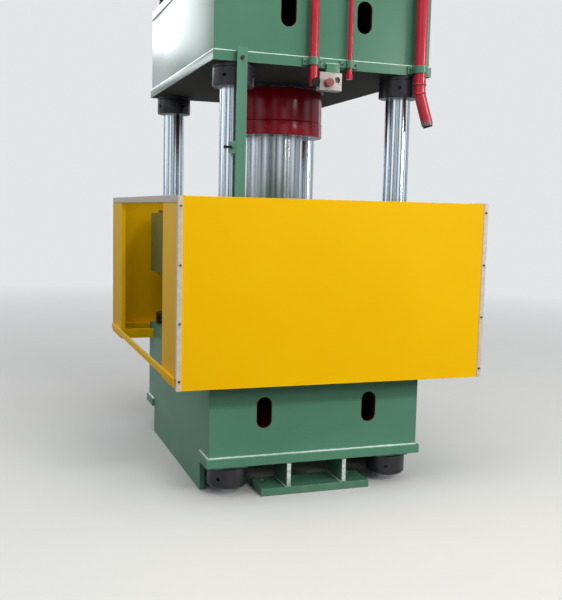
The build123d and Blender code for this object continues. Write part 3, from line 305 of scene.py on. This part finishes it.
CROWN_UNDERSIDE = 2.4605
CROWN_INSIDE = ((0.6565, 0.8845, 0.2485), (0.0, 0.0, 2.765))
BED_INSIDE = ((0.6585, 0.8995, 0.2525), (0.0, 0.0, 0.495))
GREEN = ("#4B7D64", "#50836A")
# The bed wears the crown's green made lighter: painted light that makes up for the guard's shade on it.
BED_GREEN_PAINTED_LIGHTER = ("#588C73", "#5E9379")
WORN_GREEN = "#A9C4B3"
PIPE_RED = ("#BC1B30", "#C42439")
TAIL_BARE = (2.190, 2.215)
FINISHES = {
    "enamel": plate_enamel("satin_green_enamel", GREEN, WORN_GREEN),
    # The crown's underside is painted dark as painted shade.
    "crown_enamel": plate_enamel(
        "satin_green_enamel_crown", GREEN, WORN_GREEN,
        primer_box=CROWN_INSIDE, painted_shade_below=CROWN_UNDERSIDE, sheen_level=0.38
    ),
    # The bed's lighter green is painted light.
    "bed_enamel": plate_enamel(
        "dull_green_enamel_bed_painted_lighter", BED_GREEN_PAINTED_LIGHTER, WORN_GREEN,
        roughness=0.38, primer_box=BED_INSIDE, sheen_level=0.15
    ),
    # Weld beads: the green enamel made near white, a painted highlight along the seams.
    "weld": plate_enamel("weld_bead_enamel_painted_highlight", ("#C4DCCF", "#E2EFE8"), "#F6FBF8", 0.2),
    "putty": plain_finish("white_filler_on_cut_edge", ("#9DB8AA", "#F0F4F0"), 0.5, 6.0, 0.3),
    "yellow": sheet_enamel("yellow_powder_coat"),
    "chrome": hard_chrome("ground_hard_chrome", ("#C2CED8", "#DAE4EA"), 0.16),
    "ram_chrome": hard_chrome("worn_hard_chrome", ("#AEB6BD", "#C8CFD5"), 0.24),
    "black": black_oxide("black_oxide_steel"),
    "red": gloss_enamel("red_gloss_enamel", PIPE_RED),
    "tail_red": gloss_enamel("red_gloss_enamel_bare_end", PIPE_RED, TAIL_BARE),
    # The cylinder, its nut and its gland: the pipes' red made darker, as painted shade.
    "painted_shade_red": gloss_enamel("red_gloss_enamel_painted_shade", ("#A2041E", "#B00824"), sheen_level=0.3),
    "strip": plain_finish("pale_galvanised_angle", ("#CABBA8", "#D9CDBF"), 0.42, 5.0, 0.03, 0.1),
    "steel": machined_steel("milled_bare_steel", "#B4ACA9", 0.38, 1.6),
    "dark_steel": machined_steel("turned_oiled_steel", "#5C5658", 0.40, 1.6),
    "stub": plain_finish("rusty_red_oxide_primer", ("#8C4142", "#A35A58"), 0.65, 3.0, 0.1),
    "bronze": plain_finish("turned_bronze", ("#A8793C", "#B98A4C"), 0.32, 1.5, 0.02, 1.0),
    "rubber": plain_finish("nitrile_rubber", ("#161616", "#202020"), 0.62, 0.8, 0.02),
    "plastic": plain_finish(
        "black_moulded_plastic", ("#0E0E10", "#161618"), 0.45, 1.0, 0.02, sheen_level=0.2
    ),
}
NODE_FINISH = {
    "crown_enamel": ["crown"],
    "bed_enamel": ["bed"],
    "enamel": [
        "crosshead", "front_foot", "back_foot", "block_hanger", "bed_nut_pads", "pipe_clamps", "stroke_bar",
        "switch_plates", "limit_switches",
    ],
    "yellow": ["front_guard", "back_guard", "guard_rails", "guard_arms"],
    "strip": ["guard_corner_strips"],
    "black": [
        "crown_under_nuts", "crown_top_nuts", "bed_top_nuts", "bed_under_nuts", "crown_washers",
        "cylinder_locknut_washer", "ram_ring", "clamp_bolts", "bar_bolts", "guard_bolts",
    ],
    "painted_shade_red": ["main_cylinder", "cylinder_locknut", "cylinder_gland"],
    "red": ["large_pipe", "medium_pipe", "small_pipe", "pipe_header", "small_pipe_nut"],
    "tail_red": ["large_pipe_tail"],
    "dark_steel": ["gland_bolts", "ram_ring_bolts", "valve_bolts", "prefill_valve"],
    "steel": [
        "port_block", "piston", "piston_nut", "ejector_plate", "ejector_rod", "ejector_cylinder", "trip_dog",
    ],
    "stub": ["block_stub"],
    "bronze": ["upper_guide_bushes", "lower_guide_bushes", "ram_guide_ring"],
    "rubber": ["rod_wiper", "rod_seal"],
    "plastic": ["upper_switch_lever", "lower_switch_lever", "pipe_caps"],
}
EDGE_MM = {
    "crown": 2.5, "bed": 2.5, "crosshead": 2.5, "front_foot": 2.0, "back_foot": 2.0, "stroke_bar": 1.0,
    "front_guard": 1.2, "back_guard": 1.2, "guard_rails": 1.5, "guard_corner_strips": 0.8,
    "pipe_clamps": 1.0, "port_block": 1.0, "pipe_header": 3.0, "block_hanger": 1.5,
    "cylinder_gland": 2.0, "cylinder_locknut": 1.5, "crown_washers": 1.5,
    "cylinder_locknut_washer": 1.5, "guard_arms": 2.0, "ram_ring": 2.0, "prefill_valve": 2.0,
    "main_cylinder": 3.0, "limit_switches": 1.0, "guard_bolts": 1.0, "clamp_bolts": 1.0,
    "bar_bolts": 1.0, "crown_under_nuts": 3.0, "crown_top_nuts": 3.0, "bed_top_nuts": 3.0,
    "bed_under_nuts": 3.0, "gland_bolts": 1.0, "ram_ring_bolts": 1.0, "valve_bolts": 1.0,
    "trip_dog": 1.0, "block_stub": 1.5, "pipe_caps": 1.0,
}
BEVEL_FROM = math.radians(35.0)
SMOOTH_BELOW = math.radians(20.0)


def dress_node(name, finish):
    """Gives a CAD node its finish, joins its loose triangles in a modifier, and softens its edges."""
    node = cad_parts[name]
    node.data.materials.clear()
    node.data.materials.append(FINISHES[finish])
    for face in node.data.polygons:
        face.use_smooth = True
        face.material_index = 0
    weld = node.modifiers.new("join_triangles", "WELD")
    weld.merge_threshold = 0.00002
    if name in EDGE_MM:
        soft = node.modifiers.new("soft_edges", "BEVEL")
        soft.width = EDGE_MM[name] / 1000.0
        soft.segments = 2
        soft.limit_method = "ANGLE"
        soft.angle_limit = BEVEL_FROM
    split = node.modifiers.new("crisp_edges", "EDGE_SPLIT")
    split.split_angle = SMOOTH_BELOW


for finish, names in NODE_FINISH.items():
    for name in names:
        dress_node(name, finish)


# ---------------------------------------------------------------- modelling helpers
def name_piece(name, finish):
    """Names the active piece, gives it its finish and puts its place in its mesh."""
    piece = bpy.context.object
    piece.name = name
    piece.data.name = name
    piece.data.materials.clear()
    piece.data.materials.append(FINISHES[finish])
    bpy.ops.object.transform_apply(location=True, rotation=True, scale=True)
    return piece


def pick_faces(piece, test):
    """Enters edit mode with the faces selected whose centre and normal pass the test."""
    bpy.ops.object.mode_set(mode="EDIT")
    bpy.ops.mesh.select_mode(type="FACE")
    bpy.ops.mesh.select_all(action="DESELECT")
    bpy.ops.object.mode_set(mode="OBJECT")
    for face in piece.data.polygons:
        face.select = test(face.center, face.normal)
    bpy.ops.object.mode_set(mode="EDIT")


def leave_edit():
    bpy.ops.mesh.select_all(action="DESELECT")
    bpy.ops.object.mode_set(mode="OBJECT")


def apply_bevel(piece, width, angle=30.0):
    """Rounds the active piece's edges that are sharper than angle."""
    soft = piece.modifiers.new("edge", "BEVEL")
    soft.width = width
    soft.segments = 2
    soft.limit_method = "ANGLE"
    soft.angle_limit = math.radians(angle)
    bpy.ops.object.modifier_apply(modifier=soft.name)


def keep_piece(piece, body):
    """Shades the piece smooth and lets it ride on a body."""
    bpy.ops.object.shade_smooth_by_angle(angle=BEVEL_FROM)
    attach(piece, body)
    piece.select_set(False)


# ---------------------------------------------------------------- columns and ram
SHAFT_SEGMENTS = 160
SHAFT_EDGE_ANGLE = 40.0
COLUMN_CHAMFER, RAM_CHAMFER = 0.004, 0.003
CENTRE_HOLE = 0.012
RAM_SPIGOT = 0.110


def column_shaft(name, node):
    """A ground column in the place of a CAD one, with chamfered ends and a centre hole in its top."""
    low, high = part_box(node)
    radius = round((high.x - low.x) / 2, 4)
    middle = (low + high) / 2
    bpy.ops.mesh.primitive_cylinder_add(
        vertices=SHAFT_SEGMENTS, radius=radius, depth=high.z - low.z, location=middle
    )
    piece = name_piece(name, "chrome")
    pick_faces(piece, lambda centre, normal: normal.z > 0.9)
    bpy.ops.mesh.inset(thickness=radius - CENTRE_HOLE, depth=0.0)
    bpy.ops.mesh.extrude_region_move(TRANSFORM_OT_translate={"value": (0.0, 0.0, -CENTRE_HOLE)})
    bpy.ops.transform.resize(value=(0.4, 0.4, 1.0))
    leave_edit()
    apply_bevel(piece, COLUMN_CHAMFER, SHAFT_EDGE_ANGLE)
    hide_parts(node)
    keep_piece(piece, "frame")
    return piece


first_column = column_shaft("ground_column_front_left", "column_front_left")
first_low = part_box("column_front_left")[0]
for place_name in ("front_right", "back_left", "back_right"):
    bpy.ops.object.select_all(action="DESELECT")
    first_column.select_set(True)
    bpy.context.view_layer.objects.active = first_column
    bpy.ops.object.duplicate()
    bpy.ops.transform.translate(value=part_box(f"column_{place_name}")[0] - first_low)
    column = name_piece(f"ground_column_{place_name}", "chrome")
    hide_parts(f"column_{place_name}")
    keep_piece(column, "frame")


def ram_shaft():
    """The ram: a ground shaft with its two smaller spigots."""
    low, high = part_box("ram")
    head_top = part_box("crosshead")[1].z
    piston_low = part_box("piston")[0].z
    radius = round((high.x - low.x) / 2, 4)
    middle = (0.0, 0.0, (piston_low + head_top) / 2)
    bpy.ops.mesh.primitive_cylinder_add(
        vertices=SHAFT_SEGMENTS, radius=radius, depth=piston_low - head_top, location=middle
    )
    piece = name_piece("ground_ram", "ram_chrome")
    for top, length in ((True, high.z - piston_low), (False, head_top - low.z)):
        way = 1.0 if top else -1.0
        pick_faces(piece, lambda centre, normal, way=way: normal.z * way > 0.9)
        bpy.ops.mesh.inset(thickness=radius - RAM_SPIGOT, depth=0.0)
        bpy.ops.mesh.extrude_region_move(TRANSFORM_OT_translate={"value": (0.0, 0.0, way * length)})
        leave_edit()
    apply_bevel(piece, RAM_CHAMFER, SHAFT_EDGE_ANGLE)
    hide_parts("ram")
    keep_piece(piece, "slide")


ram_shaft()


# ---------------------------------------------------------------- weld beads
def weld_bead(start, end, radius):
    """One run of weld along a joint: a thin round bar, cut across so that it can be made uneven."""
    start, end = Vector(start), Vector(end)
    run = end - start
    turn = run.to_track_quat("Z", "Y").to_euler()
    bpy.ops.mesh.primitive_cylinder_add(
        vertices=8, radius=radius, depth=run.length, location=(start + end) / 2, rotation=turn
    )
    piece = bpy.context.object
    bpy.ops.object.mode_set(mode="EDIT")
    bpy.ops.mesh.select_mode(type="EDGE")
    bpy.ops.mesh.select_all(action="DESELECT")
    bpy.ops.object.mode_set(mode="OBJECT")
    for edge in piece.data.edges:
        ends = [piece.data.vertices[index].co for index in edge.vertices]
        edge.select = (ends[0] - ends[1]).length > run.length * 0.9
    bpy.ops.object.mode_set(mode="EDIT")
    bpy.ops.mesh.subdivide(number_cuts=min(90, max(4, int(run.length / 0.014))))
    bpy.ops.object.mode_set(mode="OBJECT")
    bpy.ops.object.transform_apply(location=True, rotation=True, scale=True)
    return piece


bead_ripple = bpy.data.textures.new("bead_ripple", "CLOUDS")
bead_ripple.noise_scale = 0.018


def weld_piece(name, runs, radius):
    """All the runs of weld on one box as one piece, with the uneven surface of laid metal."""
    bpy.ops.object.select_all(action="DESELECT")
    beads = [weld_bead(start, end, radius) for start, end in runs]
    for bead in beads:
        bead.select_set(True)
    bpy.context.view_layer.objects.active = beads[0]
    if len(beads) > 1:
        bpy.ops.object.join()
    piece = name_piece(name, "weld")
    rough = piece.modifiers.new("laid", "DISPLACE")
    rough.texture = bead_ripple
    rough.texture_coords = "LOCAL"
    rough.strength = radius * 0.7
    rough.mid_level = 0.5
    bpy.ops.object.modifier_apply(modifier=rough.name)
    keep_piece(piece, "frame")


def seam_round(half_x, half_y, height):
    """The four runs round a box at one height."""
    corners = [(-half_x, -half_y), (half_x, -half_y), (half_x, half_y), (-half_x, half_y)]
    return [((*corners[at], height), (*corners[(at + 1) % 4], height)) for at in range(4)]


crown_low, crown_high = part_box("crown")
bed_low, bed_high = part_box("bed")
CROWN_PLATE, BED_PLATE = 0.056, 0.052
CROWN_WALL = (0.657, 0.885)
BED_WALL = (0.659, 0.900)
BED_SIDE_FOOT = 0.700
BED_LIFT = 0.190
weld_piece("crown_lower_weld", seam_round(*CROWN_WALL, crown_low.z + CROWN_PLATE), 0.006)
weld_piece("crown_upper_weld", seam_round(*CROWN_WALL, crown_high.z - CROWN_PLATE), 0.006)
bed_seam = bed_low.z + BED_LIFT + BED_PLATE
bed_runs = []
wall_x, wall_y = BED_WALL
for side in (-1, 1):
    bed_runs.append(((-wall_x, side * wall_y, bed_seam), (wall_x, side * wall_y, bed_seam)))
    for end in (-1, 1):
        x = side * wall_x
        bed_runs.append(((x, end * BED_SIDE_FOOT, bed_seam), (x, end * wall_y, bed_seam)))
weld_piece("bed_lower_weld", bed_runs, 0.007)

RIB_X = 0.175
RIB_FACE = 0.013
RIB_FRONT, RIB_BACK = 0.912, 0.700
RIB_SEAM_HEIGHTS = (0.045, 0.190)
foot_runs = []
for end in (-1, 1):
    for rib_x in (-RIB_X, RIB_X):
        for side in (-1, 1):
            x = rib_x + side * RIB_FACE
            for height in RIB_SEAM_HEIGHTS:
                foot_runs.append(((x, end * RIB_FRONT, height), (x, end * RIB_BACK, height)))
weld_piece("foot_rib_weld", foot_runs, 0.005)


FILLER_SIZE = (0.024, 0.002, 0.136)
FILLER_Y, FILLER_Z = 0.9155, 0.1175
FILLER_EDGE = 0.0006


def rib_fillers():
    """Smeared white filler on the cut front edges of the four foot gussets."""
    plates = []
    for end in (-1, 1):
        for rib_x in (-RIB_X, RIB_X):
            bpy.ops.mesh.primitive_cube_add(size=1.0, location=(rib_x, end * FILLER_Y, FILLER_Z))
            bpy.context.object.scale = FILLER_SIZE
            plates.append(bpy.context.object)
    for plate in plates:
        plate.select_set(True)
    bpy.ops.object.join()
    piece = name_piece("foot_rib_filler", "putty")
    apply_bevel(piece, FILLER_EDGE)
    keep_piece(piece, "frame")


rib_fillers()
HANGER_SEAM = ((-0.008, -0.902, 2.487), (0.068, -0.902, 2.487))
weld_piece("block_hanger_weld", [HANGER_SEAM], 0.006)

PIPE_RADIUS = 0.034
PIPE_SEAM_RADIUS = 0.0045
PIPE_SEAMS = ((2.405, 0.0), (2.354, math.radians(-9.3)))


def pipe_seam(height, lean):
    """A ring of weld round the large pipe."""
    pipe_low, pipe_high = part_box("large_pipe")
    bpy.ops.mesh.primitive_torus_add(
        major_radius=PIPE_RADIUS + 0.001, minor_radius=PIPE_SEAM_RADIUS, major_segments=64, minor_segments=12,
        location=(pipe_high.x - PIPE_RADIUS, pipe_low.y + PIPE_RADIUS, height), rotation=(0.0, lean, 0.0)
    )
    return bpy.context.object


pipe_seams = [pipe_seam(height, lean) for height, lean in PIPE_SEAMS]
for ring in pipe_seams:
    ring.select_set(True)
bpy.ops.object.join()
keep_piece(name_piece("large_pipe_weld", "red"), "frame")


# ---------------------------------------------------------------- floor, backdrop, light
def pale_ground(name, seen, lighting):
    """Matt pale ground that shows one colour to the eye and to metal, and throws back a darker one."""
    material, tree, place = start_material(name)
    to_camera = add_node(tree, "LightPath", out="Is Camera Ray")
    to_metal = add_node(tree, "LightPath", out="Is Glossy Ray")
    seen_by = add_node(tree, "Math", {0: to_camera, 1: to_metal}, operation="MAXIMUM")
    grain = patches(tree, place, 900.0, 0.0, 1.0)
    tint = add_node(tree, "Mix", {0: grain, 6: linear(seen[0]), 7: linear(seen[1])}, out=2, data_type="RGBA")
    shade = add_node(tree, "Mix", {0: seen_by, 6: linear(lighting), 7: tint}, out=2, data_type="RGBA")
    links = {"Base Color": shade, "Roughness": 0.9, "Specular IOR Level": 0.1}
    body = add_node(tree, "BsdfPrincipled", links)
    away = add_node(tree, "VectorMath", {0: place}, out="Value", operation="LENGTH")
    ends = {"Value": away, "From Min": HAZE_FROM, "From Max": HAZE_FULL}
    far = add_node(tree, "MapRange", ends, clamp=True)
    far_seen = add_node(tree, "Math", {0: far, 1: seen_by}, operation="MULTIPLY")
    haze = add_node(tree, "Emission", {"Color": linear(SKY_COLOUR), "Strength": SKY_SEEN})
    ground = add_node(tree, "MixShader", {0: far_seen, 1: body, 2: haze})
    add_node(tree, "OutputMaterial", {"Surface": ground})
    return material


HAZE_FROM, HAZE_FULL = 3.5, 13.0
SKY_COLOUR = "#F2F5F7"
SKY_SEEN = 0.86
SKY_LIGHT = 0.58
bpy.ops.object.select_all(action="DESELECT")
bpy.ops.mesh.primitive_plane_add(size=200.0, location=(0, 0, 0))
floor = bpy.context.object
floor.name = "floor"
floor.data.materials.append(pale_ground("pale_studio_floor", ("#DADAD8", "#DFDFDD"), "#343331"))

CARD_RING = 12.0
CARD_COUNT = 24
CARD_HEIGHT = 4.6
CARD_SIZE = (1.5, 9.0, 1.0)
CARD_OFFSET = 0.35
CARD_COLOUR = "#E8F0F8"
CARD_GLOW = {"dark_card": 0.10, "grey_card": 0.42, "bright_card": 1.7}
CARD_ORDER = ("bright_card", "dark_card", "grey_card", "dark_card")
WINDOW_PLACE = (-3.6, 11.0, 7.4)
WINDOW_SIZE = (7.0, 5.5, 1.0)
WINDOW_COLOUR, WINDOW_GLOW = "#F4F8FC", 5.0
HIDDEN_RAYS = ("camera", "diffuse", "transmission", "volume_scatter", "shadow")


def glow_finish(name, colour, strength):
    """An even light of one colour."""
    material, tree, place = start_material(name)
    glow = add_node(tree, "Emission", {"Color": linear(colour), "Strength": strength})
    add_node(tree, "OutputMaterial", {"Surface": glow})
    return material


def studio_card(name, place, turn, size, finish):
    """An upright card that faces the middle and is seen only in polished metal and gloss paint."""
    bpy.ops.mesh.primitive_plane_add(size=1.0, location=place)
    card = bpy.context.object
    card.name = name
    card.scale = size
    card.rotation_euler = (math.pi / 2, 0.0, turn)
    card.data.materials.append(finish)
    for ray in HIDDEN_RAYS:
        setattr(card, "visible_" + ray, False)


card_finish = {name: glow_finish(name, CARD_COLOUR, strength) for name, strength in CARD_GLOW.items()}
for index in range(CARD_COUNT):
    turn = 2 * math.pi * (index + CARD_OFFSET) / CARD_COUNT
    spot = Vector((math.sin(turn), -math.cos(turn), 0.0)) * CARD_RING
    spot.z = CARD_HEIGHT
    finish = card_finish[CARD_ORDER[index % len(CARD_ORDER)]]
    studio_card(f"studio_card_{index}", spot, turn, CARD_SIZE, finish)
window_turn = math.atan2(WINDOW_PLACE[0], -WINDOW_PLACE[1])
window_finish = glow_finish("window_card", WINDOW_COLOUR, WINDOW_GLOW)
studio_card("studio_window", WINDOW_PLACE, window_turn, WINDOW_SIZE, window_finish)

world = bpy.data.worlds.new("studio")
bpy.context.scene.world = world
world.use_nodes = True
sky = world.node_tree
sky.nodes.clear()
sky_camera = add_node(sky, "LightPath", out="Is Camera Ray")
sky_metal = add_node(sky, "LightPath", out="Is Glossy Ray")
sky_seen = add_node(sky, "Math", {0: sky_camera, 1: sky_metal}, operation="MAXIMUM")
sky_strength = add_node(sky, "MapRange", {"Value": sky_seen, "To Min": SKY_LIGHT, "To Max": SKY_SEEN})
sky_glow = add_node(sky, "Background", {"Color": linear(SKY_COLOUR), "Strength": sky_strength})
add_node(sky, "OutputWorld", {"Surface": sky_glow})


def soft_lamp(name, place, aim, size, watts, colour, mirrored=True):
    """A large soft lamp at place, aimed at a point; gloss paint shows it where it is mirrored."""
    lamp = bpy.data.lights.new(name, "AREA")
    lamp.shape = "RECTANGLE"
    lamp.size, lamp.size_y = size
    lamp.energy = watts
    lamp.color = linear(colour)[:3]
    holder = bpy.data.objects.new(name, lamp)
    bpy.context.scene.collection.objects.link(holder)
    holder.location = place
    holder.rotation_euler = (Vector(aim) - Vector(place)).to_track_quat("-Z", "Y").to_euler()
    holder.visible_glossy = mirrored


soft_lamp("roof_light", (-1.0, -3.0, 8.5), (0.0, 0.0, 1.5), (6.0, 6.0), 300.0, "#FFFFFF")
soft_lamp("front_light", (2.0, -10.0, 6.6), (0.0, -0.5, 1.2), (4.0, 1.0), 380.0, "#FFFDF8", mirrored=False)
soft_lamp("right_light", (8.0, -9.5, 4.2), (0.0, -0.5, 1.2), (5.0, 1.2), 360.0, "#FFFDF8")
soft_lamp("left_light", (-9.0, 2.0, 4.5), (0.0, 0.0, 2.2), (5.0, 4.0), 50.0, "#F4F8FF")

bpy.context.scene.view_settings.view_transform = "Standard"
